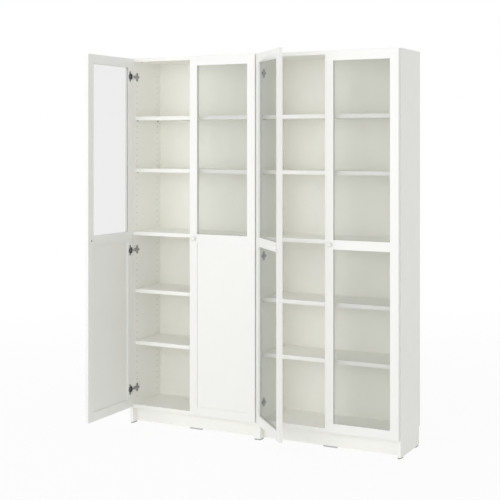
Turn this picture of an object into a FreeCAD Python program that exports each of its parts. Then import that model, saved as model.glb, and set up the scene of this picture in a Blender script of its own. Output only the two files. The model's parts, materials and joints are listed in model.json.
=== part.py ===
"""Two tall bookcases side by side, each with a pair of framed doors on concealed cup hinges.

Frame: +X right, +Y to the back, +Z up. The origin is on the floor, in the plane of the carcass fronts,
where the two cases meet. Millimetres. The doors stand as they are stored: the first open at a right
angle, the third half open, the others shut.
"""
import FreeCAD, Part
import math
import os
import re
import Sketcher

SIZES = [
    # carcass
    ("unit_width", 800, "outside width of one case"),
    ("unit_depth", 280, "outside depth of one case"),
    ("unit_height", 2020, "floor to the top of the case"),
    ("board", 20, "thickness of sides, top, floor and fixed shelf"),
    ("base_height", 86, "floor to the underside of the bottom board"),
    ("fixed_shelf_height", 1042, "floor to the underside of the fixed shelf"),
    ("shelves_per_bay", 2, "loose shelves above and below the fixed shelf"),
    ("shelf_board", 20, "thickness of a loose shelf"),
    ("shelf_setback", 20, "loose shelf behind the front of the case"),
    ("shelf_end_play", 1, "loose shelf clear of the sides and back"),
    ("pin_pitch", 32, "spacing of the shelf-pin holes"),
    ("pin_radius", 2.5, "shelf-pin hole"),
    ("pin_play", 0.05, "pin or bolt clear of its hole"),
    ("pin_in_board", 9, "length of a shelf pin in the side"),
    ("pin_proud", 9, "length of a shelf pin under the shelf"),
    ("front_row", 37, "front row of holes from the case front"),
    ("rear_row", 236, "rear row of holes from the case front"),
    ("row_lift", 37.5, "first pin hole above the floor of its bay"),
    ("row_end_gap", 40, "least height left above the last pin hole"),
    ("back_board", 3, "thickness of the back sheet"),
    ("back_inset", 9.5, "back sheet in front of the rear edge"),
    ("back_groove", 6, "depth of the groove for the back sheet"),
    ("back_play", 0.2, "back sheet clear of its groove"),
    ("back_top_gap", 2, "back sheet below the top of the case"),
    ("plinth_recess", 40, "plinth behind the front of the case"),
    ("plinth_board", 18, "thickness of the plinth"),
    ("plinth_lift", 8, "plinth clear of the floor"),
    ("skirting_depth", 15, "notch for the room's skirting, front to back"),
    ("skirting_height", 99, "notch for the room's skirting, floor to top"),
    ("glide_height", 6, "pad under a side"),
    ("glide_length", 44, "pad under a side, along the side"),
    ("glide_radius", 9, "rounded end of a pad"),
    ("glide_setback", 1, "front pad behind the front of the case"),
    ("foot_width", 75, "support foot under the middle of the plinth"),
    ("foot_depth", 16, "support foot, front to back"),
    # carcass fittings
    ("cam_radius", 7.5, "cam lock"),
    ("cam_height", 12.5, "cam lock, up into the board"),
    ("cam_setback", 34, "cam centre from the end of its board"),
    ("cam_rear_row", 210, "rear cam from the case front"),
    ("cam_play", 0.1, "cam lock clear of its bore"),
    ("bolt_radius", 3, "cam bolt"),
    ("bolt_in_side", 11, "length of a cam bolt in the side"),
    ("bolt_gap", 0.4, "cam bolt short of its cam"),
    ("bracket_width", 32, "wall bracket, along the wall"),
    ("bracket_leg", 42, "wall bracket on the top board"),
    ("bracket_rise", 20, "wall bracket up the wall"),
    ("bracket_sheet", 2, "steel of the wall bracket"),
    ("wall_hole_radius", 2.75, "hole for the wall screw"),
    ("board_hole_radius", 2.2, "hole for the screw into the top board"),
    ("board_hole_setback", 10.5, "that hole from the front of the bracket"),
    # doors
    ("door_gap", 3, "shut door clear of the case front"),
    ("door_board", 18, "thickness of the door frame"),
    ("door_edge_gap", 3, "shut door inside the case's outer face"),
    ("door_meet_gap", 1, "half the gap between a pair of doors"),
    ("door_bottom", 93, "floor to the door"),
    ("door_top_gap", 3, "door below the top of the case"),
    ("stile", 45, "width of an upright of the frame"),
    ("rail_top", 50, "height of the top rail"),
    ("rail_mid", 48, "height of the middle rail"),
    ("rail_bottom", 47, "height of the bottom rail"),
    ("mid_rail_drop", 26, "middle rail starts below the fixed shelf"),
    ("groove_depth", 6, "groove in the frame for panes and panels"),
    ("pane", 4, "thickness of the glass"),
    ("pane_lip", 11, "frame in front of the glass"),
    ("panel", 4, "thickness of a solid panel"),
    ("panel_lip", 5, "frame in front of a solid panel"),
    ("pane_play", 0.2, "pane or panel clear of the groove's walls"),
    ("pane_end_play", 0.8, "pane or panel clear of the groove's floor"),
    ("open_1", 90, "angle at which the first door stands"),
    ("open_2", 0, "angle at which the second door stands"),
    ("open_3", 45, "angle at which the third door stands"),
    ("open_4", 0, "angle at which the fourth door stands"),
    # knobs
    ("knob_setback", 28, "knob from the door's free edge"),
    ("knob_foot_radius", 8, "flared foot on the door"),
    ("knob_neck_radius", 5.5, "waist"),
    ("knob_neck", 10, "door to the back of the head"),
    ("knob_head_radius", 12.5, "head"),
    ("knob_rim", 5, "height of the head's edge"),
    ("knob_length", 22, "door to the crown"),
    # hinges, from the shut door's hinge edge and inner face
    ("hinge_from_top", 99, "upper hinge below the door's top"),
    ("hinge_mid_drop", 82, "middle hinge below the fixed shelf"),
    ("hinge_from_bottom", 100, "lower hinge above the door's bottom"),
    ("hinge_pin_setback", 8, "pin from the door's hinge edge"),
    ("hinge_pin_depth", 11, "pin below the door's inner face"),
    ("hinge_pin_radius", 1, "pin"),
    ("hinge_pin_half", 10.5, "half the length of the pin"),
    ("pin_fit", 0.02, "pin clear of the cup, which holds it"),
    ("eye_fit", 0.05, "pin clear of the arm's eye, which turns on it"),
    ("eye_wall", 1.25, "metal round the eye"),
    ("neck_half_height", 5, "half the height of the arm's neck"),
    ("neck_sheet", 2.2, "metal of the neck"),
    ("neck_reach", 16, "neck from the pin, across the cup"),
    ("neck_bend", 3, "middle radius of the bend in the neck"),
    ("cup_setback", 21, "cup centre from the door's hinge edge"),
    ("cup_radius", 17.5, "cup"),
    ("cup_depth", 14.8, "cup, into the door"),
    ("cup_wall", 1, "metal of the cup"),
    ("cup_fit", 0.3, "cup clear of its bore"),
    ("flange_sheet", 1.2, "flange on the door's inner face"),
    ("flange_lip", 1, "flange beyond the cup"),
    ("ear_radius", 6.5, "screw ear of the flange"),
    ("ear_pitch", 45, "spacing of the two screw ears"),
    ("ear_offset", 5, "ears from the cup centre, away from the edge"),
    ("arm_start", 6, "arm from the case front"),
    ("arm_end", 46, "end of the arm from the case front"),
    ("arm_half_height", 6, "half the height of the arm"),
    ("arm_rise", 8, "arm on its plate"),
    ("plate_sheet", 2.5, "mounting plate"),
    ("plate_start", 15, "plate from the case front"),
    ("plate_end", 49, "end of the plate from the case front"),
    ("plate_half_height", 8, "half the height of the plate"),
    ("wing_radius", 8, "rounded wing tip of the plate"),
    ("wing_pitch", 32, "spacing of the plate's two screws"),
    ("screw_radius", 2.6, "screw hole of the plate"),
    ("adjuster_radius", 3.5, "adjusting screw on the arm"),
    ("adjuster_head", 1.2, "adjusting screw proud of the arm"),
]

doc = FreeCAD.newDocument("bookcase")
sheet = doc.addObject("Spreadsheet::Sheet", "sizes")
for row, (alias, number, meaning) in enumerate(SIZES, start=1):
    sheet.set(f"A{row}", alias)
    sheet.set(f"B{row}", str(number))
    sheet.set(f"C{row}", meaning)
    sheet.setAlias(f"B{row}", alias)
doc.recompute()

ALIASES = {alias for alias, number, meaning in SIZES}
UP = FreeCAD.Vector(0, 0, 1)
ALONG_X = FreeCAD.Rotation(FreeCAD.Vector(0, 1, 0), 90)
ALONG_Y = FreeCAD.Rotation(FreeCAD.Vector(1, 0, 0), -90)
TURNED_OVER = FreeCAD.Rotation(FreeCAD.Vector(0, 1, 0), 180)
ABOUT_Z = FreeCAD.Rotation(UP, 1)  # any turn but zero keeps its axis when the angle is bound
nodes = []


def size(alias):
    """A driving dimension as a plain number."""
    return float(sheet.get(alias))


def formula(text):
    """Write sheet names into an expression given in plain size names."""
    def with_sheet(match):
        word = match.group()
        return "sizes." + word if word in ALIASES else word

    return re.sub(r"[a-z][a-z_0-9]*", with_sheet, str(text))


def bind(obj, **rules):
    for path, text in rules.items():
        obj.setExpression(path, formula(text))


def put(obj, x=0, y=0, z=0, turn=None):
    """Place an object at sheet-driven coordinates."""
    if turn is not None:
        obj.Placement = FreeCAD.Placement(FreeCAD.Vector(), turn)
    for axis, text in zip("xyz", (x, y, z)):
        obj.setExpression("Placement.Base." + axis, formula(text))
    return obj


def block(name, length, width, height, x=0, y=0, z=0):
    box = doc.addObject("Part::Box", name)
    bind(box, Length=length, Width=width, Height=height)
    return put(box, x, y, z)


def rod(name, radius, height, x=0, y=0, z=0, turn=None):
    cylinder = doc.addObject("Part::Cylinder", name)
    bind(cylinder, Radius=radius, Height=height)
    return put(cylinder, x, y, z, turn)


def fuse(name, *members):
    joined = doc.addObject("Part::MultiFuse", name)
    joined.Shapes = list(members)
    joined.Refine = True
    return joined


def cut(name, base, *tools):
    whole = doc.addObject("Part::Cut", name)
    whole.Base = base
    whole.Tool = tools[0] if len(tools) == 1 else fuse(name + "_tools", *tools)
    return whole


def copy_of(master, name, x=0, y=0, z=0, turn=None):
    link = doc.addObject("App::Link", name)
    link.LinkedObject = master
    return put(link, x, y, z, turn)


def node(label, members):
    """A finished sub-part: one solid, or a group of separate ones."""
    group = doc.addObject("Part::Compound", label)
    group.Links = list(members)
    nodes.append(group)
    return group


def origin_plane(body, role):
    return next(feature for feature in body.Origin.OriginFeatures if feature.Role == role)


def sketch_on(body, name, role, lift=0):
    sketch = body.newObject("Sketcher::SketchObject", name)
    sketch.AttachmentSupport = (origin_plane(body, role), [""])
    sketch.MapMode = "FlatFace"
    sketch.setExpression("AttachmentOffset.Base.z", formula(lift))
    return sketch


def pin_point(sketch, geometry, end, x, y):
    """Tie a sketch point to sheet-driven coordinates; a point on an axis is tied to that axis."""
    for kind, text, axis in (("DistanceX", x, -2), ("DistanceY", y, -1)):
        if text == 0:
            sketch.addConstraint(Sketcher.Constraint("PointOnObject", geometry, end, axis))
            continue
        here = sketch.getPoint(geometry, end)
        now = here.x if kind == "DistanceX" else here.y
        index = sketch.addConstraint(Sketcher.Constraint(kind, -1, 1, geometry, end, now))
        sketch.setExpression(f"Constraints[{index}]", formula(text))


def dome_arc(rim, crown):
    """The arc from a rim point up to the crown on the V axis, level at the crown."""
    rise = abs(crown.y - rim.y)
    radius = (rim.x ** 2 + rise ** 2) / (2 * rise)
    half = math.atan2(rim.x, radius - rise) / 2
    middle = FreeCAD.Vector(radius * math.sin(half), crown.y + radius * (1 - math.cos(half)), 0)
    return Part.Arc(rim, middle, crown)


def outline(sketch, corners, dome=None):
    """A closed outline of straight edges; each corner gives (x, y) numbers and (x, y) formulas.

    The edge numbered dome is an arc whose centre is on the V axis; it runs from its crown to its rim.
    """
    points = [FreeCAD.Vector(x, y, 0) for (x, y), rules in corners]
    for index, (start, end) in enumerate(zip(points, points[1:] + points[:1])):
        sketch.addGeometry(dome_arc(start, end) if index == dome else Part.LineSegment(start, end))
    count = len(points)
    first_end = [2 if index == dome else 1 for index in range(count)]
    if dome is not None:
        sketch.addConstraint(Sketcher.Constraint("PointOnObject", dome, 3, -2))
    for index in range(count):
        after = (index + 1) % count
        last_end = 3 - first_end[index]
        sketch.addConstraint(Sketcher.Constraint("Coincident", index, last_end, after, first_end[after]))
    for index, (numbers, (x, y)) in enumerate(corners):
        pin_point(sketch, index, first_end[index], x, y)


def circles(sketch, radius, centres):
    """Equal circles; each centre gives (x, y) numbers and (x, y) formulas."""
    for (x, y), rules in centres:
        index = sketch.addGeometry(Part.Circle(FreeCAD.Vector(x, y, 0), UP, size("pin_radius")))
        pin_point(sketch, index, 3, *rules)
        rule = sketch.addConstraint(Sketcher.Constraint("Radius", index, size("pin_radius")))
        sketch.setExpression(f"Constraints[{rule}]", formula(radius))


def pocket(body, sketch, name, depth, inwards):
    """Cut a sketch into the panel, towards +X or -X, and make sure that it took something away."""
    before = body.Shape.Volume
    hole = body.newObject("PartDesign::Pocket", name)
    hole.Profile = sketch
    hole.Reversed = inwards
    bind(hole, Length=depth)
    doc.recompute()
    if body.Shape.Volume >= before - 1:
        raise RuntimeError(name + " cuts nothing")
    return hole


# Sides: a board with a skirting notch, a groove for the back, two rows of shelf-pin holes and cam-bolt holes.
INNER_DEPTH = "(unit_depth - back_inset - back_board)"
BAYS = [("(base_height + board)", "fixed_shelf_height"),
        ("(fixed_shelf_height + board)", "(unit_height - board)")]


def shelf_row(floor, ceiling, shelf):
    """Height of the pins under a shelf, counted from one: rows spread evenly over the bay's holes."""
    rows = f"floor(({ceiling} - {floor}) / ((shelves_per_bay + 1) * pin_pitch))"
    return f"{floor} + row_lift + {shelf} * {rows} * pin_pitch"


SHELF_PINS = [shelf_row(floor, ceiling, shelf) for floor, ceiling in BAYS for shelf in (1, 2)]
BOARD_CENTRES = ["unit_height - board / 2", "fixed_shelf_height + board / 2", "base_height + board / 2"]


def side_panel(label, x, inner_at_right):
    body = doc.addObject("PartDesign::Body", label + "_body")
    profile = sketch_on(body, label + "_outline", "YZ_Plane")
    depth, top, foot = size("unit_depth"), size("unit_height"), size("glide_height")
    notch_y, notch_z = depth - size("skirting_depth"), size("skirting_height")
    outline(profile, [((0, foot), (0, "glide_height")),
                      ((notch_y, foot), ("unit_depth - skirting_depth", "glide_height")),
                      ((notch_y, notch_z), ("unit_depth - skirting_depth", "skirting_height")),
                      ((depth, notch_z), ("unit_depth", "skirting_height")),
                      ((depth, top), ("unit_depth", "unit_height")),
                      ((0, top), (0, "unit_height"))])
    pad = body.newObject("PartDesign::Pad", label + "_pad")
    pad.Profile = profile
    bind(pad, Length="board")
    doc.recompute()
    face, inwards = ("board", False) if inner_at_right else (0, True)

    groove = sketch_on(body, label + "_groove_outline", "YZ_Plane", face)
    near = depth - size("back_inset") - size("back_board") - size("back_play")
    far = depth - size("back_inset") + size("back_play")
    near_rule, far_rule = INNER_DEPTH + " - back_play", "unit_depth - back_inset + back_play"
    low = size("base_height")
    outline(groove, [((near, low), (near_rule, "base_height")), ((far, low), (far_rule, "base_height")),
                     ((far, top), (far_rule, "unit_height")), ((near, top), (near_rule, "unit_height"))])
    pocket(body, groove, label + "_back_groove", "back_groove", inwards)

    bolts = sketch_on(body, label + "_bolt_centres", "YZ_Plane", face)
    board = size("board") / 2
    heights = [top - board, size("fixed_shelf_height") + board, low + board]
    circles(bolts, "bolt_radius + pin_play",
            [((size(row), z), (row, rule)) for z, rule in zip(heights, BOARD_CENTRES)
             for row in ("front_row", "cam_rear_row")])
    pocket(body, bolts, label + "_bolt_holes", "bolt_in_side", inwards)

    for bay, (bottom, ceiling) in enumerate(BAYS):
        rows = sketch_on(body, f"{label}_pin_centres_{bay}", "YZ_Plane", face)
        start = (low if bay == 0 else size("fixed_shelf_height")) + size("board") + size("row_lift")
        circles(rows, "pin_radius",
                [((size(row), start), (row, f"{bottom} + row_lift")) for row in ("front_row", "rear_row")])
        first = pocket(body, rows, f"{label}_pin_holes_{bay}", "pin_in_board + pin_play", inwards)
        pattern = body.newObject("PartDesign::LinearPattern", f"{label}_pin_rows_{bay}")
        pattern.Originals = [first]
        pattern.Direction = (rows, ["V_Axis"])
        steps = f"floor(({ceiling} - {bottom} - row_lift - row_end_gap) / pin_pitch)"
        bind(pattern, Length=f"{steps} * pin_pitch", Occurrences=f"{steps} + 1")
        body.Tip = pattern
        doc.recompute()
    put(body, x)
    return node(label, [body])


# Boards between the sides, each bored at both ends for two cam locks and their bolts.
def cam_places(left):
    """Board ends as (inner face of the side, direction into the board, setback row)."""
    right = f"{left} + unit_width"
    for row in ("front_row", "cam_rear_row"):
        yield f"{left} + board", 1, row
        yield f"{right} - board", -1, row


def cross_board(label, left, z, cams):
    board = block(label + "_blank", "unit_width - 2 * board", INNER_DEPTH, "board", f"{left} + board", 0, z)
    tools = []
    for index, (face, way, row) in enumerate(cam_places(left)):
        centre = f"{face} + {way} * cam_setback"
        disc = f"{label}_cam_{index}"
        tools.append(rod(disc + "_bore", "cam_radius + cam_play", "cam_height + cam_play", centre, row, z))
        cams.append(rod(disc, "cam_radius", "cam_height", centre, row, z))
        start = face if way > 0 else f"{face} - cam_setback"
        tools.append(rod(disc + "_bolt_bore", "bolt_radius + pin_play", "cam_setback", start, row,
                         f"{z} + board / 2", ALONG_X))
        inside = "(cam_setback - cam_radius - bolt_gap)"
        bolt_start = f"{face} - bolt_in_side" if way > 0 else f"{face} - {inside}"
        cams.append(rod(disc + "_bolt", "bolt_radius", f"{inside} + bolt_in_side", bolt_start, row,
                        f"{z} + board / 2", ALONG_X))
    return node(label, [cut(label + "_bored", board, *tools)])


def glide(name, x, y):
    """A stadium-shaped pad under a side, its length along the side."""
    long = "glide_length - 2 * glide_radius"
    middle = block(name + "_middle", "2 * glide_radius", long, "glide_height",
                   f"{x} - glide_radius", f"{y} + glide_radius")
    front = rod(name + "_front", "glide_radius", "glide_height", x, f"{y} + glide_radius")
    rear = rod(name + "_rear", "glide_radius", "glide_height", x, f"{y} + glide_radius + {long}")
    return fuse(name, middle, front, rear)


def wall_bracket(label, centre):
    """A steel angle on the top board; its upright leg takes the screw into the wall."""
    front = "(unit_depth - bracket_leg)"
    leg = block(label + "_leg", "bracket_width", "bracket_leg", "bracket_sheet",
                f"{centre} - bracket_width / 2", front, "unit_height")
    rise = block(label + "_rise", "bracket_width", "bracket_sheet", "bracket_rise",
                 f"{centre} - bracket_width / 2", "unit_depth - bracket_sheet", "unit_height")
    half_way_up = "unit_height + (bracket_sheet + bracket_rise) / 2"
    wall_hole = rod(label + "_wall_hole", "wall_hole_radius", "3 * bracket_sheet", centre,
                    "unit_depth - 2 * bracket_sheet", half_way_up, ALONG_Y)
    board_hole = rod(label + "_board_hole", "board_hole_radius", "3 * bracket_sheet", centre,
                     front + " + board_hole_setback", "unit_height - bracket_sheet")
    return node(label, [cut(label + "_angle", fuse(label + "_blank", leg, rise), wall_hole, board_hole)])


def bookcase(case, left):
    """One case; left is the x of its left outer face."""
    right = f"{left} + unit_width"
    side_panel(case + "_left_side", left, True)
    side_panel(case + "_right_side", f"{right} - board", False)
    cams = []
    cross_board(case + "_top", left, "unit_height - board", cams)
    cross_board(case + "_fixed_shelf", left, "fixed_shelf_height", cams)
    cross_board(case + "_floor", left, "base_height", cams)
    node(case + "_cam_locks", cams)

    pins = []
    for index, height in enumerate(SHELF_PINS, start=1):
        shelf = block(f"{case}_shelf_{index}_board", "unit_width - 2 * board - 2 * shelf_end_play",
                      INNER_DEPTH + " - shelf_setback - shelf_end_play", "shelf_board",
                      f"{left} + board + shelf_end_play", "shelf_setback",
                      f"{height} + pin_radius - pin_play")
        node(f"{case}_shelf_{index}", [shelf])
        starts = {"left": f"{left} + board - pin_in_board", "right": f"{right} - board - pin_proud"}
        for row in ("front_row", "rear_row"):
            for end, start in starts.items():
                pins.append(rod(f"{case}_pin_{index}_{row}_{end}", "pin_radius - pin_play",
                                "pin_in_board + pin_proud", start, row, height, ALONG_X))
    node(case + "_shelf_pins", pins)

    back = block(case + "_back_sheet", "unit_width - 2 * board + 2 * (back_groove - back_play)", "back_board",
                 "unit_height - back_top_gap - base_height",
                 f"{left} + board - back_groove + back_play", INNER_DEPTH, "base_height")
    node(case + "_back", [back])
    plinth = block(case + "_plinth_board", "unit_width - 2 * board", "plinth_board",
                   "base_height - plinth_lift", f"{left} + board", "plinth_recess", "plinth_lift")
    node(case + "_plinth", [plinth])
    foot = block(case + "_foot_block", "foot_width", "foot_depth", "plinth_lift",
                 f"{left} + (unit_width - foot_width) / 2",
                 "plinth_recess + (plinth_board - foot_depth) / 2")
    node(case + "_plinth_foot", [foot])
    glides = []
    rear = "unit_depth - skirting_depth - glide_length"
    for end, x in (("left", f"{left} + board / 2"), ("right", f"{right} - board / 2")):
        for place, y in (("front", "glide_setback"), ("rear", rear)):
            glides.append(glide(f"{case}_glide_{end}_{place}", x, y))
    node(case + "_glides", glides)
    wall_bracket(case + "_wall_bracket", f"{left} + unit_width / 2")


# Hinge masters, drawn for a shut door hung on its left, with the hinge pin's axis at x = y = 0.
FACE_X = "(board - door_edge_gap - hinge_pin_setback)"
FRONT_Y = "(door_gap + hinge_pin_depth)"


def hinge_cup():
    """The dish let into the door with its screw flange, bored across for the pin."""
    middle, face = "(cup_setback - hinge_pin_setback)", "hinge_pin_depth"
    dish = rod("cup_dish", "cup_radius", "cup_depth", middle, f"{face} - cup_depth", 0, ALONG_Y)
    rim = rod("cup_rim", "cup_radius + flange_lip", "flange_sheet", middle, face, 0, ALONG_Y)
    ears_at = f"{middle} + ear_offset"
    bar = block("cup_ear_bar", "2 * ear_radius", "flange_sheet", "ear_pitch",
                f"{ears_at} - ear_radius", face, "-ear_pitch / 2")
    ears = [rod(f"cup_ear_{way}", "ear_radius", "flange_sheet",
                ears_at, face, f"{way} * ear_pitch / 2", ALONG_Y) for way in (-1, 1)]
    hollow = rod("cup_hollow", "cup_radius - cup_wall", "cup_depth - cup_wall + 2 * flange_sheet", middle,
                 f"{face} - cup_depth + cup_wall", 0, ALONG_Y)
    pin_bore = rod("cup_pin_bore", "hinge_pin_radius + pin_fit", "2 * cup_radius", 0, 0, "-cup_radius")
    return cut("hinge_cup", fuse("cup_blank", dish, rim, bar, *ears), hollow, pin_bore)


def hinge_arm():
    """The goose-neck arm: an eye round the pin, a neck out of the cup, and the arm along the side."""
    tall, low = "2 * neck_half_height", "-neck_half_height"
    eye = rod("arm_eye", "hinge_pin_radius + eye_fit + eye_wall", tall, 0, 0, low)
    bend_x = "neck_reach - neck_bend"
    along = block("arm_neck_along", bend_x, "neck_sheet", tall, 0, "-neck_sheet / 2", low)
    bend = rod("arm_bend_outer", "neck_bend + neck_sheet / 2", tall, bend_x, "neck_bend", low,
               FreeCAD.Rotation(UP, -90))
    bend.Angle = 90
    bend_inner = rod("arm_bend_inner", "neck_bend - neck_sheet / 2", tall, bend_x, "neck_bend", low)
    out = block("arm_neck_out", "neck_sheet", f"{FRONT_Y} + arm_start + neck_sheet - neck_bend", tall,
                "neck_reach - neck_sheet / 2", "neck_bend", low)
    start = f"{FRONT_Y} + arm_start"
    base = f"{FACE_X} + plate_sheet"
    body = block("arm_body", "arm_rise", "arm_end - arm_start - arm_half_height", "2 * arm_half_height",
                 base, start, "-arm_half_height")
    tail = rod("arm_tail", "arm_half_height", "arm_rise",
               base, f"{FRONT_Y} + arm_end - arm_half_height", 0, ALONG_X)
    screw = rod("arm_adjuster", "adjuster_radius", "adjuster_head", f"{base} + arm_rise",
                f"{FRONT_Y} + arm_end - 2 * arm_half_height", 0, ALONG_X)
    bore = rod("arm_pin_bore", "hinge_pin_radius + eye_fit", tall, 0, 0, low)
    elbow = cut("arm_elbow", bend, bend_inner)
    return cut("hinge_arm", fuse("arm_blank", eye, along, elbow, out, body, tail, screw), bore)


def hinge_plate():
    """The winged plate screwed to the side; the arm sits on it."""
    row = f"{FRONT_Y} + front_row"
    spine = block("plate_spine", "plate_sheet", "plate_end - plate_start", "2 * plate_half_height",
                  FACE_X, f"{FRONT_Y} + plate_start", "-plate_half_height")
    wings = block("plate_wings", "plate_sheet", "2 * wing_radius", "wing_pitch",
                  FACE_X, f"{row} - wing_radius", "-wing_pitch / 2")
    tips, holes = [], []
    for way in (-1, 1):
        height = f"{way} * wing_pitch / 2"
        tips.append(rod(f"plate_tip_{way}", "wing_radius", "plate_sheet", FACE_X, row, height, ALONG_X))
        holes.append(rod(f"plate_hole_{way}", "screw_radius", "plate_sheet", FACE_X, row, height, ALONG_X))
    return cut("hinge_plate", fuse("plate_blank", spine, wings, *tips), *holes)


def knob_master():
    """A turned knob: a flared foot, a waist and a domed head; its axis is Y and its foot is at y = 0."""
    body = doc.addObject("PartDesign::Body", "knob_master")
    profile = sketch_on(body, "knob_profile", "XY_Plane")
    foot, waist, head = size("knob_foot_radius"), size("knob_neck_radius"), size("knob_head_radius")
    neck, rim, tip = size("knob_neck"), size("knob_rim"), size("knob_length")
    corners = [((0, 0), (0, 0)), ((foot, 0), ("knob_foot_radius", 0)),
               ((waist, -neck / 2), ("knob_neck_radius", "-knob_neck / 2")),
               ((waist, -neck), ("knob_neck_radius", "-knob_neck")),
               ((head, -neck - rim / 2), ("knob_head_radius", "-knob_neck - knob_rim / 2")),
               ((head, -neck - rim), ("knob_head_radius", "-knob_neck - knob_rim")),
               ((0, -tip), (0, "-knob_length"))]
    outline(profile, corners, dome=len(corners) - 2)
    turned = body.newObject("PartDesign::Revolution", "knob_turning")
    turned.Profile = profile
    turned.ReferenceAxis = (profile, ["V_Axis"])
    turned.Angle = 360
    return body


CUP, ARM, PLATE, KNOB = hinge_cup(), hinge_arm(), hinge_plate(), knob_master()
PIN = rod("hinge_pin", "hinge_pin_radius", "2 * hinge_pin_half")

# Doors: a grooved frame of stiles and rails round two sheets, a knob, and three hinges.
GLASS = {"sheet": "pane", "lip": "pane_lip"}
BOARD = {"sheet": "panel", "lip": "panel_lip"}
DOOR_WIDTH = "(unit_width / 2 - door_edge_gap - door_meet_gap)"
DOOR_HEIGHT = "(unit_height - door_top_gap - door_bottom)"
MID_RAIL = "(fixed_shelf_height - mid_rail_drop)"
HINGE_HEIGHTS = ["unit_height - door_top_gap - hinge_from_top", "fixed_shelf_height - hinge_mid_drop",
                 "door_bottom + hinge_from_bottom"]


def door(number, left, hand, lower):
    """A framed door hung on the left (hand 1) or the right (hand -1) of the case whose left face is given.

    Its pieces are drawn shut, about the hinge pin's axis, and turned together to the open angle.
    """
    name = f"door_{number}"
    edge = f"({left} + door_edge_gap + hinge_pin_setback)"
    axis_x = edge if hand > 0 else f"({left} + unit_width - door_edge_gap - hinge_pin_setback)"
    front = "(hinge_pin_depth - door_board)"
    over = None if hand > 0 else TURNED_OVER

    def spot(from_edge, length):
        """x of a piece that starts this far from the hinge edge."""
        start = f"({from_edge}) - hinge_pin_setback"
        return start if hand > 0 else f"-({start}) - ({length})"

    def hung(label, members):
        piece = node(label, members)
        put(piece, axis_x, "-door_gap - hinge_pin_depth", 0, ABOUT_Z)
        piece.setExpression("Placement.Rotation.Angle", formula(f"{-hand} * open_{number}"))
        return piece

    def slot(label, infill, length, height, x, z):
        """The tool that cuts a groove as wide as the sheet it takes."""
        return block(f"{name}_{label}_slot", length, f"{infill['sheet']} + 2 * pane_play", height,
                     x, f"{front} + {infill['lip']}", z)

    lower_infill = BOARD if lower == "lower_panel" else GLASS
    top = "(unit_height - door_top_gap)"
    split = f"({MID_RAIL} + rail_mid / 2)"
    free = f"{DOOR_WIDTH} - stile"
    stiles = []
    for label, start, slot_at in (("hinge", "0", "stile - groove_depth"), ("free", free, free)):
        bar = block(f"{name}_{label}_bar", "stile", "door_board", DOOR_HEIGHT,
                    spot(start, "stile"), front, "door_bottom")
        slot_x = spot(slot_at, "groove_depth")
        tools = [slot(label + "_lower", lower_infill, "groove_depth", f"{split} - door_bottom",
                      slot_x, "door_bottom"),
                 slot(label + "_upper", GLASS, "groove_depth", f"{top} - {split}", slot_x, split)]
        if label == "hinge":
            middle = "cup_setback - hinge_pin_setback"
            bore_x = middle if hand > 0 else f"-({middle})"
            tools += [rod(f"{name}_cup_bore_{index}", "cup_radius + cup_fit", "cup_depth + cup_fit",
                          bore_x, "hinge_pin_depth - cup_depth - cup_fit", height, ALONG_Y)
                      for index, height in enumerate(HINGE_HEIGHTS)]
        stiles.append(cut(f"{name}_{label}_stile", bar, *tools))
    hung(name + "_stiles", stiles)

    opening = f"({DOOR_WIDTH} - 2 * stile)"
    rail_x = spot("stile", opening)
    rails = []
    for label, z, height, above, below in (("top", f"{top} - rail_top", "rail_top", None, GLASS),
                                           ("mid", MID_RAIL, "rail_mid", GLASS, lower_infill),
                                           ("bottom", "door_bottom", "rail_bottom", lower_infill, None)):
        bar = block(f"{name}_{label}_bar", opening, "door_board", height, rail_x, front, z)
        tools = []
        if above:
            tools.append(slot(label + "_upper", above, opening, "groove_depth",
                              rail_x, f"{z} + {height} - groove_depth"))
        if below:
            tools.append(slot(label + "_lower", below, opening, "groove_depth", rail_x, z))
        rails.append(cut(f"{name}_{label}_rail", bar, *tools))
    hung(name + "_rails", rails)

    let_in = "(groove_depth - pane_end_play)"
    wide = f"({opening} + 2 * {let_in})"
    for label, infill, low, high in (("upper_pane", GLASS, f"({MID_RAIL} + rail_mid)", f"({top} - rail_top)"),
                                     (lower, lower_infill, "(door_bottom + rail_bottom)", MID_RAIL)):
        infilling = block(f"{name}_{label}_sheet", wide, infill["sheet"], f"{high} - {low} + 2 * {let_in}",
                          spot(f"stile - {let_in}", wide), f"{front} + {infill['lip']} + pane_play",
                          f"{low} - {let_in}")
        hung(f"{name}_{label}", [infilling])

    knob_x = f"{DOOR_WIDTH} - knob_setback - hinge_pin_setback"
    hung(name + "_knob", [copy_of(KNOB, name + "_knob_turned", knob_x if hand > 0 else f"-({knob_x})", front,
                                   f"{MID_RAIL} + rail_mid / 2")])

    cups, arms = [], []
    for index, height in enumerate(HINGE_HEIGHTS):
        cups.append(copy_of(CUP, f"{name}_cup_{index}", 0, 0, height, over))
        cups.append(copy_of(PIN, f"{name}_pin_{index}", 0, 0, f"{height} - hinge_pin_half"))
        for master, label in ((ARM, "arm"), (PLATE, "plate")):
            arms.append(copy_of(master, f"{name}_{label}_{index}", 0, 0, height, over))
    hung(name + "_hinge_cups", cups)
    fixed = node(name + "_hinge_arms", arms)
    put(fixed, axis_x, "-door_gap - hinge_pin_depth")


LEFT_CASE, RIGHT_CASE = "-unit_width", "0"
bookcase("left_case", LEFT_CASE)
bookcase("right_case", RIGHT_CASE)
door(1, LEFT_CASE, 1, "lower_panel")
door(2, LEFT_CASE, -1, "lower_panel")
door(3, RIGHT_CASE, 1, "lower_pane")
door(4, RIGHT_CASE, -1, "lower_pane")

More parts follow.
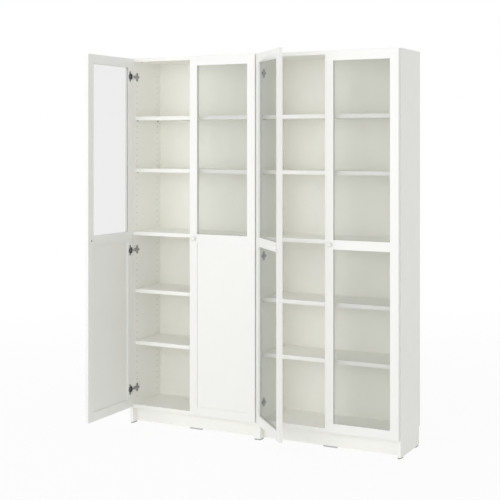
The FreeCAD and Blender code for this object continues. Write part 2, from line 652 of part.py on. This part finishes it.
doc.recompute()
for obj in doc.Objects:
    if "Invalid" in obj.State or "Error" in obj.State:
        raise RuntimeError(f"{obj.Name} failed: {obj.State}")
os.makedirs("parts", exist_ok=True)
for piece in nodes:
    if piece.Shape.isNull() or not piece.Shape.isValid() or not piece.Shape.Solids:
        raise RuntimeError(f"{piece.Label} has no sound solid")
    piece.Shape.exportStep(f"parts/{piece.Label}.step")
    print(f"{piece.Label}: {len(piece.Shape.Solids)} solids, {piece.Shape.Volume / 1000:.1f} cm3")
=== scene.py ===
# %% [markdown]
# # Two white bookcases with framed doors
#
# The real object is flat-pack furniture: foil-covered boards, lacquered door frames, float glass and plated
# steel hinges. The construction arrives ready made as a frame of named nodes, at its real size, so this
# lesson only dresses it: finishes, softened edges, screw heads, light and camera.

# %% Load the frame
import json
import math

import bmesh
import bpy
from mathutils import Matrix, Vector


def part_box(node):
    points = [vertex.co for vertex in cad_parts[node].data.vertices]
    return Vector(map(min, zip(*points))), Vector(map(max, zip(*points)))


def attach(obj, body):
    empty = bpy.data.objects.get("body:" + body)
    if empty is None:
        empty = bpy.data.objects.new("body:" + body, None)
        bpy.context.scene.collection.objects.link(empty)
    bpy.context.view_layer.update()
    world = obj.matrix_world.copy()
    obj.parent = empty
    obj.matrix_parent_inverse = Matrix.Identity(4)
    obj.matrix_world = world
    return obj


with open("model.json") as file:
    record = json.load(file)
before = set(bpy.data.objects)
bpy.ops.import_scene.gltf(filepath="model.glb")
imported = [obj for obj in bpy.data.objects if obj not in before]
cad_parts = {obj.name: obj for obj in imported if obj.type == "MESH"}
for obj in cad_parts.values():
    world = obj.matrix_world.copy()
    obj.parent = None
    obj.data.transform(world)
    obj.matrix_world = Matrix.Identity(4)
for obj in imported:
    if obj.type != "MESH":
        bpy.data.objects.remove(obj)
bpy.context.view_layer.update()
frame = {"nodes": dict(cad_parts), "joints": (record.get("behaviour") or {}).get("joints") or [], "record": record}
NODES = frame["nodes"]
CASES = ("left_case", "right_case")

# %% [markdown]
# ## Colours and nodes
#
# Colours are easiest to judge as the hex values that a paint shop or a screen shows, but a shader works with
# linear light. One function converts them, so every finish below can be written in hex.
# A node tree could be drawn by hand in the editor, but written out it can be read and repeated. The other
# functions add a node with its settings and links, a step of arithmetic, or a blend of two colours.

# %% Helpers for nodes


def linear(hex_colour):
    """sRGB hex, such as F4F4F1, as opaque linear RGBA."""
    parts = [int(hex_colour[i:i + 2], 16) / 255 for i in (0, 2, 4)]
    return [v / 12.92 if v <= 0.04045 else ((v + 0.055) / 1.055) ** 2.4 for v in parts] + [1.0]


def add_node(tree, kind, inputs=None, **settings):
    """Add a node; an input is a number, a colour or the socket that feeds it."""
    node = tree.nodes.new(kind)
    for name, value in settings.items():
        setattr(node, name, value)
    for name, value in (inputs or {}).items():
        if isinstance(value, bpy.types.NodeSocket):
            tree.links.new(value, node.inputs[name])
        else:
            node.inputs[name].default_value = value
    return node


def maths(tree, operation, *values):
    """The result of one operation on numbers or sockets."""
    return add_node(tree, "ShaderNodeMath", dict(enumerate(values)), operation=operation).outputs[0]


def blend(tree, factor, first, second):
    """A colour between two, each a hex value or the socket that feeds it."""
    mix = add_node(tree, "ShaderNodeMix", {"Factor": factor}, data_type="RGBA")
    for socket, colour in ((mix.inputs[6], first), (mix.inputs[7], second)):
        if isinstance(colour, str):
            socket.default_value = linear(colour)
        else:
            tree.links.new(colour, socket)
    return mix.outputs[2]


print("F4F4F2 in linear light:", [round(v, 3) for v in linear("F4F4F2")[:3]])

# %% [markdown]
# ## What every finish starts from
#
# A finish is one shader with its plain values set. No surface is quite even, so most finishes cloud faintly
# between two close colours and carry a fine relief. A picture could be wrapped round each piece instead, but
# noise has no seams, and a small function turns millimetres into its scale, so it has a real size. Both
# patterns follow the piece's own coordinates, which keeps them in place when a door turns.

# %% Helpers for materials
FINISHES = {}
CLOUD_DETAIL, GRAIN_DETAIL = 3.0, 2.0


def new_material(name, **sockets):
    """A material with its shader's plain sockets set; names use _ for spaces."""
    material = bpy.data.materials.new(name)
    material.use_nodes = True
    shader = material.node_tree.nodes["Principled BSDF"]
    for socket, value in sockets.items():
        shader.inputs[socket.replace("_", " ")].default_value = value
    return material, material.node_tree, shader


def per_metre(millimetres):
    """Texture scale whose features are about this wide."""
    return 1000 / millimetres


def noise(tree, place, feature_mm, detail):
    """Noise whose features have a real width."""
    return add_node(tree, "ShaderNodeTexNoise",
                    {"Vector": place, "Scale": per_metre(feature_mm), "Detail": detail}).outputs["Fac"]


def mottle(tree, shader, light, dark, patch_mm, grain_mm, grain_height_mm):
    """Faint clouding between two colours and a fine relief; gives the coordinates and the colour."""
    place = add_node(tree, "ShaderNodeTexCoord").outputs["Object"]
    colour = blend(tree, noise(tree, place, patch_mm, CLOUD_DETAIL), light, dark)
    tree.links.new(colour, shader.inputs["Base Color"])
    grain = noise(tree, place, grain_mm, GRAIN_DETAIL)
    bump = add_node(tree, "ShaderNodeBump",
                    {"Height": grain, "Strength": 1.0, "Distance": grain_height_mm / 1000})
    tree.links.new(bump.outputs["Normal"], shader.inputs["Normal"])
    return place, colour


print("texture scale of a 3 mm grain:", round(per_metre(3), 1))

# %% [markdown]
# ## White foil on particle board
#
# The carcass boards are particle board wrapped in a printed foil and embossed with a very fine, soft texture.
# It gives a satin white that is a little warm, with no visible grain. The embossing is finer than a pixel,
# so it is drawn a few millimetres wide, which is just coarse enough to break up the gloss.
# The drill goes through the foil, so the rows of pin holes show the bare board as small dark dots. Their
# walls could be given a second material face by face, but a mask made from their place in the sides colours
# all of them at once.

# %% Carcass and back finishes
CASE_SIDES = [f"{case}_{side}_side" for case in CASES for side in ("left", "right")]
PIN_ROWS, PIN_HOLE_REACH, FOIL_SKIN = (0.037, 0.236), 0.003, 0.0004
BARE_BOARD = "9C8B72"


def any_near(tree, value, spots):
    """One where a value lies within the reach of one of the spots, given as pairs of place and reach."""
    found = 0.0
    for spot, reach in spots:
        found = maths(tree, "MAXIMUM", found, maths(tree, "COMPARE", value, spot, reach))
    return found


def below_foil(axis):
    """The middle and half width of what lies below the foil in each of the sides, along one axis."""
    boxes = [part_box(name) for name in CASE_SIDES]
    return sorted({((low[axis] + high[axis]) / 2, (high[axis] - low[axis]) / 2 - FOIL_SKIN)
                   for low, high in boxes})


def bored_holes(tree, place):
    """One inside the sides' pin holes, below the foil, and zero on every face that the foil covers."""
    across, deep, up = add_node(tree, "ShaderNodeSeparateXYZ", {"Vector": place}).outputs
    within = maths(tree, "MULTIPLY", any_near(tree, across, below_foil(0)), any_near(tree, up, below_foil(2)))
    rows = any_near(tree, deep, [(row, PIN_HOLE_REACH) for row in PIN_ROWS])
    return maths(tree, "MULTIPLY", within, rows)


def white_foil():
    """Satin white with the bare board inside the pin holes."""
    material, tree, shader = new_material("white_melamine_foil", Roughness=0.45)
    place, foil = mottle(tree, shader, "F9F9F5", "F4F4F0", patch_mm=90, grain_mm=3, grain_height_mm=0.02)
    tree.links.new(blend(tree, bored_holes(tree, place), foil, BARE_BOARD), shader.inputs["Base Color"])
    return material


def back_foil():
    """Paper foil on hardboard: duller than the boards, with a faint flat mottling."""
    material, tree, shader = new_material("white_paper_foil", Roughness=0.6)
    mottle(tree, shader, "F7F7F1", "F1F1EB", patch_mm=140, grain_mm=5, grain_height_mm=0.03)
    return material


FINISHES["white_board"] = white_foil()
FINISHES["back_sheet"] = back_foil()
print("boards:", [material.name for material in FINISHES.values()])

# %% [markdown]
# ## Sprayed lacquer
#
# The door frames, panels and knobs are sprayed with a white lacquer. Sprayed paint dries with an orange-peel
# skin: low, wide waves a couple of millimetres across that soften every reflection. Plain gloss would look
# like plastic, so the skin is a low relief with a thin clear coat over it. The knobs are a little glossier
# than the frames, and the panels a little duller.

# %% Lacquer finishes


def lacquer(name, light, dark, roughness):
    """White paint with a thin clear coat and a faint orange peel."""
    material, tree, shader = new_material(name, Roughness=roughness, Coat_Weight=0.15, Coat_Roughness=0.25)
    mottle(tree, shader, light, dark, patch_mm=120, grain_mm=2.5, grain_height_mm=0.015)
    return material


FINISHES["white_frame"] = lacquer("white_frame_lacquer", "F4F4F2", "F1F1EE", 0.38)
FINISHES["white_panel"] = lacquer("white_panel_lacquer", "F4F4F1", "F1F1ED", 0.42)
FINISHES["knob_white"] = lacquer("white_knob_lacquer", "F5F5F2", "F1F1EE", 0.3)
print("lacquers:", [name for name, material in FINISHES.items() if "lacquer" in material.name])

# %% [markdown]
# ## Float glass
#
# The panes are clear float glass, 4 mm thick. Iron in it makes the glass a little grey-green, and like any
# glass it mirrors more and lets less through at a slant. Full refraction in a flat pane only shifts the view
# by a millimetre, so the pane is a thin tinted film that lets straight light and shadows through.

# %% Glass
GLASS_TINT = "6B736C"
VEIL_STRAIGHT, VEIL_SLANT, SLANT_POWER = 0.085, 0.7, 5.0


def float_glass():
    """Each face of the pane veils a little of what is behind it, and more at a slant."""
    material, tree, shader = new_material("clear_float_glass", Base_Color=linear(GLASS_TINT), Roughness=0.03,
                                          IOR=1.52)
    slant = add_node(tree, "ShaderNodeLayerWeight", {"Blend": 0.5}).outputs["Facing"]
    mirror = maths(tree, "POWER", slant, SLANT_POWER)
    veil = add_node(tree, "ShaderNodeMapRange",
                    {"Value": mirror, "To Min": VEIL_STRAIGHT, "To Max": VEIL_SLANT})
    tree.links.new(veil.outputs["Result"], shader.inputs["Alpha"])
    return material


FINISHES["pane_glass"] = float_glass()
print("glass:", FINISHES["pane_glass"].name)

# %% [markdown]
# ## Plated steel, zinc, powder coat and plastic
#
# The hinges are pressed steel with nickel plating, which looks mid-grey because a metal mostly shows what it
# mirrors. The rolled sheet leaves fine streaks, drawn here as noise stretched along one direction.
# The cams are die-cast zinc, which is duller. Feet and glides are moulded plastic, and the wall brackets have
# a white powder coat: both have the same fine, pebbled grain.

# %% Metals and plastics
STREAK_MM, STREAK_STRETCH, STREAK_DETAIL = 0.8, (1.0, 0.12, 1.0), 4.0
ROUGHNESS_SWING = 0.08


def plated_steel(name, light, dark, roughness):
    """Metal whose tone and gloss change a little from streak to streak."""
    material, tree, shader = new_material(name, Metallic=1.0)
    place = add_node(tree, "ShaderNodeTexCoord").outputs["Object"]
    drawn = add_node(tree, "ShaderNodeMapping", {"Vector": place, "Scale": STREAK_STRETCH}).outputs["Vector"]
    streak = noise(tree, drawn, STREAK_MM, STREAK_DETAIL)
    tree.links.new(blend(tree, streak, light, dark), shader.inputs["Base Color"])
    rough = add_node(tree, "ShaderNodeMapRange", {"Value": streak, "To Min": roughness - ROUGHNESS_SWING,
                                                  "To Max": roughness + ROUGHNESS_SWING})
    tree.links.new(rough.outputs["Result"], shader.inputs["Roughness"])
    return material


def pebbled(name, light, dark):
    """Moulded plastic or powder coat."""
    material, tree, shader = new_material(name, Roughness=0.5)
    mottle(tree, shader, light, dark, patch_mm=25, grain_mm=0.9, grain_height_mm=0.03)
    return material


FINISHES["hinge_nickel"] = plated_steel("nickel_plated_steel", "B6B6B8", "98989C", 0.3)
FINISHES["pin_steel"] = plated_steel("bright_pin_steel", "B9B9BB", "A2A2A5", 0.3)
FINISHES["fitting_zinc"] = plated_steel("cast_zinc", "A5A5A6", "909092", 0.5)
FINISHES["bracket_steel"] = pebbled("white_powder_coat", "EDEDEB", "E6E6E3")
FINISHES["grey_plastic"] = pebbled("grey_moulded_plastic", "C2C3C3", "B4B5B5")
FINISHES["glide_plastic"] = pebbled("glide_moulded_plastic", "9B9B99", "8C8C8A")
print("finishes:", len(FINISHES))

# %% [markdown]
# ## Finishes on their nodes
#
# The record gives every node a material slot: the name of the stuff that the real piece is made of. Each
# node could be given its finish by hand, but a loop over the slots can't forget one.

# %% Dress the nodes
SLOT_OF = {part["node"]: part["material_slot"] for part in frame["record"]["subparts"]}
for name, node in NODES.items():
    node.data.materials.clear()
    node.data.materials.append(FINISHES[SLOT_OF[name]])
print("dressed:", len(SLOT_OF), "nodes")

# %% [markdown]
# ## Softened edges
#
# A machined board never has a perfectly sharp edge: the foil or paint turns over a small radius, and that
# thin line of light is what makes furniture look solid. The construction could hold these rounds, but as a
# modifier they stay one number for each finish. The nodes' triangles are loose, so a Weld joins them before
# a Bevel rounds every sharp corner.

# %% Edges
EDGE_RADIUS_MM = {"white_board": 0.6, "white_frame": 1.0, "grey_plastic": 0.8, "bracket_steel": 0.4}
WELD_REACH, SHARP_CORNER = 0.00001, math.radians(40)


def soften(node, radius_mm):
    weld = node.modifiers.new("join", "WELD")
    weld.merge_threshold = WELD_REACH
    bevel = node.modifiers.new("edge", "BEVEL")
    bevel.width = radius_mm / 1000
    bevel.segments = 2
    bevel.limit_method = "ANGLE"
    bevel.angle_limit = SHARP_CORNER


SOFT_NODES = [name for name in NODES if SLOT_OF[name] in EDGE_RADIUS_MM]
for name in SOFT_NODES:
    soften(NODES[name], EDGE_RADIUS_MM[SLOT_OF[name]])
print("softened:", len(SOFT_NODES), "nodes")

# %% [markdown]
# ## One screw head
#
# Small pan-head screws with a cross recess hold the hinge plates, the cup flanges, the knobs and the wall
# brackets. A head could be turned on a spindle, but the cross would then need a Boolean cut. Here a flat grid
# is drawn out to a disc instead: its squares become rings, and the cross is a few of its faces pressed in.

# %% Screw head
# The grid's cells and the cross's, along one way; the rest are shares of the head's height or radius.
GRID, CROSS_CELLS = 9, 5
DOME_FALL, RECESS_DEPTH = 0.4, 0.45
RECESS_TAPER, RIM_ROUND = 1 / 60, 1 / 5


def screw_head(radius, height):
    """A closed pan head that sits on z = 0 with its axis up."""
    head = bmesh.new()
    bmesh.ops.create_grid(head, x_segments=GRID, y_segments=GRID, size=radius)
    arm, half_width = radius * CROSS_CELLS / GRID, radius / GRID
    centres = {face: face.calc_center_median() for face in head.faces}
    cross = [face for face, c in centres.items()
             if min(abs(c.x), abs(c.y)) < half_width and max(abs(c.x), abs(c.y)) < arm]
    for vert in head.verts:
        reach = vert.co.length
        if reach > 0:
            vert.co *= max(abs(vert.co.x), abs(vert.co.y)) / reach
        vert.co.z = height * (1 - DOME_FALL * (vert.co.length / radius) ** 2)
    bmesh.ops.inset_region(head, faces=cross, thickness=radius * RECESS_TAPER, depth=-RECESS_DEPTH * height,
                           use_even_offset=True)
    rim = [edge for edge in head.edges if edge.is_boundary]
    skirt = bmesh.ops.extrude_edge_only(head, edges=rim)["geom"]
    for vert in (item for item in skirt if isinstance(item, bmesh.types.BMVert)):
        vert.co.z = 0
    bmesh.ops.holes_fill(head, edges=[edge for edge in head.edges if edge.is_boundary], sides=0)
    bmesh.ops.bevel(head, geom=rim, offset=height * RIM_ROUND, offset_type="OFFSET", segments=2, profile=0.5,
                    affect="EDGES", material=-1)
    bmesh.ops.recalc_face_normals(head, faces=head.faces)
    return head


sample = screw_head(radius=0.0036, height=0.0016)
print("faces of a screw head:", len(sample.faces))
sample.free()

# %% [markdown]
# ## Groups of screws
#
# A hinge has its screws in sets, so equal screws on one door are one piece: single heads would do, but a set
# is easier to name and to move. Nobody lines up the crosses, so each head is left turned by another step of
# the same odd angle. A random turn would look the same but would change from run to run.

# %% Screw groups
# For each kind: the head's radius and height, its finish, and where its run of turns starts.
SCREWS = {
    "plate_screws": (0.0036, 0.0016, "hinge_nickel", 0),
    "adjusters": (0.0031, 0.0012, "hinge_nickel", 5),
    "cup_screws": (0.0036, 0.0016, "hinge_nickel", 2),
    "knob_screw": (0.0048, 0.0024, "pin_steel", 3),
    "bracket_screw": (0.0042, 0.0020, "pin_steel", 1),
}
TURN_STEP = 37
NO_TURN = Matrix.Identity(4)


def seat(place, axis, spin):
    """A head's placement: its seat, the way that it faces, and how far the driver left it turned."""
    facing = Vector((0, 0, 1)).rotation_difference(Vector(axis)).to_matrix().to_4x4()
    return Matrix.Translation(place) @ facing @ Matrix.Rotation(spin, 4, "Z")


def screws(owner, kind, places, axis, body, turn=NO_TURN):
    """A group of equal heads as one piece that rides on a body."""
    radius, height, slot, first = SCREWS[kind]
    group = bmesh.new()
    data = bpy.data.meshes.new(f"{owner}_{kind}")
    for i, place in enumerate(places):
        head = screw_head(radius, height)
        head.transform(turn @ seat(place, axis, math.radians(TURN_STEP * (first + i))))
        head.to_mesh(data)
        head.free()
        group.from_mesh(data)
    group.to_mesh(data)
    group.free()
    piece = bpy.data.objects.new(data.name, data)
    bpy.context.scene.collection.objects.link(piece)
    data.materials.append(FINISHES[slot])
    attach(piece, body)


print("kinds of screw:", list(SCREWS))

# %% [markdown]
# ## Screws in their places
#
# The frame says where each fitting is: the hinge heights come from the hinge arms' own box and the fixed
# shelf, and each door's pin from its joint. A door that stands open in the photograph carries its screws
# round with it, so they are placed as if it were shut and then turned about its pin.

# %% Hinge, knob and bracket screws
WING_REACH, MID_HINGE_DROP = 0.024, 0.082
PLATE_ROW, PLATE_SHEET, PLATE_SCREW_RISE = 0.037, 0.0025, 0.016
ADJUSTER_ROW, ADJUSTER_FACE = 0.034, 0.0117
EAR_FROM_PIN, EAR_RISE, FLANGE_FACE = 0.018, 0.0225, 0.0122
KNOB_FROM_PIN, KNOB_RISE, INNER_FACE = 0.360, -0.002, 0.011
BRACKET_HOLE, BRACKET_SHEET = 0.0105, 0.002
BACKWARDS, UPWARDS = (0, 1, 0), (0, 0, 1)
# For each door: its case, the side that it hangs on, and the way from that side into the case.
SIDES = {"door_1": ("left_case", "left", 1), "door_2": ("left_case", "right", -1),
         "door_3": ("right_case", "left", 1), "door_4": ("right_case", "right", -1)}
JOINT_OF = {joint["child"]: joint for joint in frame["joints"]}


def hinge_heights(door, shelf_z):
    low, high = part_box(door + "_hinge_arms")
    return low.z + WING_REACH, shelf_z - MID_HINGE_DROP, high.z - WING_REACH


def above_and_below(heights, rise):
    return [z + way * rise for z in heights for way in (-1, 1)]


def case_screws(door, board, hand, heights):
    """The screws that stay on the case: two in each plate, and the adjuster on each arm."""
    low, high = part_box(board)
    wall = high.x if hand > 0 else low.x
    inwards = (hand, 0, 0)
    plate_x, arm_x = wall + hand * PLATE_SHEET, wall + hand * ADJUSTER_FACE
    plates = [(plate_x, PLATE_ROW, z) for z in above_and_below(heights, PLATE_SCREW_RISE)]
    screws(door, "plate_screws", plates, inwards, "cases")
    screws(door, "adjusters", [(arm_x, ADJUSTER_ROW, z) for z in heights], inwards, "cases")


def leaf_screws(door, hand, heights, knob_z):
    """The screws that turn with the door: two in each cup's ears, and the knob's."""
    joint = JOINT_OF[door]
    pin_x, pin_y = joint["pos_m"][:2]
    # The range is counted from rest, so its lower end is minus the angle at which the door stands open.
    shut = math.radians(joint["range_deg"][0])
    turn = Matrix.Translation((pin_x, pin_y, 0)) @ Matrix.Rotation(hand * shut, 4, "Z")
    ears = [(hand * EAR_FROM_PIN, FLANGE_FACE, z) for z in above_and_below(heights, EAR_RISE)]
    screws(door, "cup_screws", ears, BACKWARDS, door, turn)
    screws(door, "knob_screw", [(hand * KNOB_FROM_PIN, INNER_FACE, knob_z)], BACKWARDS, door, turn)


for door, (case, side, hand) in SIDES.items():
    shelf_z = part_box(case + "_fixed_shelf")[0].z
    heights = hinge_heights(door, shelf_z)
    case_screws(door, f"{case}_{side}_side", hand, heights)
    leaf_screws(door, hand, heights, shelf_z + KNOB_RISE)
for case in CASES:
    low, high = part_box(case + "_wall_bracket")
    place = ((low.x + high.x) / 2, low.y + BRACKET_HOLE, low.z + BRACKET_SHEET)
    screws(case, "bracket_screw", [place], UPWARDS, "cases")

# %% [markdown]
# ## Floor and background
#
# The floor and the background are white. A world that is white to the camera but dimmer to everything else
# keeps the background clean without washing out the object, and the floor still takes a faint shadow near
# the object.

# %% Floor and world
FLOOR_HALF = 40.0
SHADOW_NEAR, SHADOW_FAR, SHADOW_SHARE = 1.5, 5.0, 0.09


def seen_by_eye(tree):
    """One where the camera, a mirror or a pane looks, and zero for light that only bounces."""
    ray = add_node(tree, "ShaderNodeLightPath")
    seen = ray.outputs["Is Camera Ray"]
    for kind in ("Is Glossy Ray", "Is Transmission Ray"):
        seen = maths(tree, "MAXIMUM", seen, ray.outputs[kind])
    return seen


def floor_white():
    """White paint near the object, which fades into plain white light further out."""
    material, tree, shader = new_material("floor_white", Base_Color=linear("F4F4F4"), Roughness=0.9)
    place = add_node(tree, "ShaderNodeTexCoord").outputs["Object"]
    reach = add_node(tree, "ShaderNodeVectorMath", {0: place}, operation="LENGTH").outputs["Value"]
    fade = add_node(tree, "ShaderNodeMapRange",
                    {"Value": reach, "From Min": SHADOW_NEAR, "From Max": SHADOW_FAR,
                     "To Min": 1 - SHADOW_SHARE, "To Max": 1.0})
    share = maths(tree, "MULTIPLY", fade.outputs["Result"], seen_by_eye(tree))
    glow = add_node(tree, "ShaderNodeEmission", {"Color": linear("FFFFFF"), "Strength": 1.0})
    mix = add_node(tree, "ShaderNodeMixShader",
                   {0: share, 1: shader.outputs["BSDF"], 2: glow.outputs["Emission"]})
    tree.links.new(mix.outputs["Shader"], tree.nodes["Material Output"].inputs["Surface"])
    return material


def studio_floor():
    mesh = bmesh.new()
    bmesh.ops.create_grid(mesh, x_segments=1, y_segments=1, size=FLOOR_HALF)
    data = bpy.data.meshes.new("floor")
    mesh.to_mesh(data)
    mesh.free()
    floor = bpy.data.objects.new("floor", data)
    bpy.context.scene.collection.objects.link(floor)
    floor.data.materials.append(floor_white())
    return floor


def studio_world(fill):
    """White where it is seen, and a dimmer even light for everything else."""
    world = bpy.data.worlds.new("studio")
    world.use_nodes = True
    tree = world.node_tree
    strength = add_node(tree, "ShaderNodeMapRange",
                        {"Value": seen_by_eye(tree), "To Min": fill, "To Max": 1.0})
    background = tree.nodes["Background"]
    background.inputs["Color"].default_value = linear("FFFFFF")
    tree.links.new(strength.outputs["Result"], background.inputs["Strength"])
    bpy.context.scene.world = world
    return world


STAGE = (studio_floor(), studio_world(fill=0.72))
print("stage:", [item.name for item in STAGE])

# %% [markdown]
# ## Lamps
#
# A large soft lamp stands in front, a little to the left, and a weaker one further to the right reaches the
# open door's inner face and the right-hand side. White boards pass most of their light on, so a deep bay
# needs many bounces before it looks as bright as it is.

# %% Lamps
LAMP_TARGET = (0, 0, 1.1)
LIGHT_BOUNCES = 12


def soft_lamp(name, place, size, power):
    lamp = bpy.data.lights.new(name, "AREA")
    lamp.shape = "DISK"
    lamp.size = size
    lamp.energy = power
    stand = bpy.data.objects.new(name, lamp)
    stand.location = place
    stand.rotation_euler = (Vector(LAMP_TARGET) - Vector(place)).to_track_quat("-Z", "Y").to_euler()
    bpy.context.scene.collection.objects.link(stand)
    return stand


LAMPS = [soft_lamp("front_key", (-1.5, -6.8, 1.8), size=6.0, power=160),
         soft_lamp("right_key", (4.2, -6.2, 1.5), size=4.0, power=40)]
bpy.context.scene.cycles.diffuse_bounces = LIGHT_BOUNCES
print("lamps:", [lamp.name for lamp in LAMPS])

# %% [markdown]
# ## Camera
#
# The upright edges stay upright in the photograph. A camera tipped down would make them lean together, so
# this one is level and its frame is shifted, as with a view camera. It stands to the right of the cases at
# eye height and is turned to the left.

# %% Camera
CAMERA_PLACE = (2.641, -4.861, 1.549)
CAMERA_TURN = 25.3
CAMERA_SENSOR, CAMERA_LENS = 36, 76.1
CAMERA_SHIFT = (-0.1328, -0.2129)

camera = bpy.data.cameras.new("camera")
camera.sensor_width = CAMERA_SENSOR
camera.lens = CAMERA_LENS
camera.shift_x, camera.shift_y = CAMERA_SHIFT
tripod = bpy.data.objects.new("camera", camera)
tripod.location = CAMERA_PLACE
tripod.rotation_euler = (math.radians(90), 0, math.radians(CAMERA_TURN))
bpy.context.scene.collection.objects.link(tripod)
bpy.context.scene.camera = tripod
bpy.context.scene.view_settings.view_transform = "Standard"
print("camera:", CAMERA_PLACE, "lens", CAMERA_LENS)
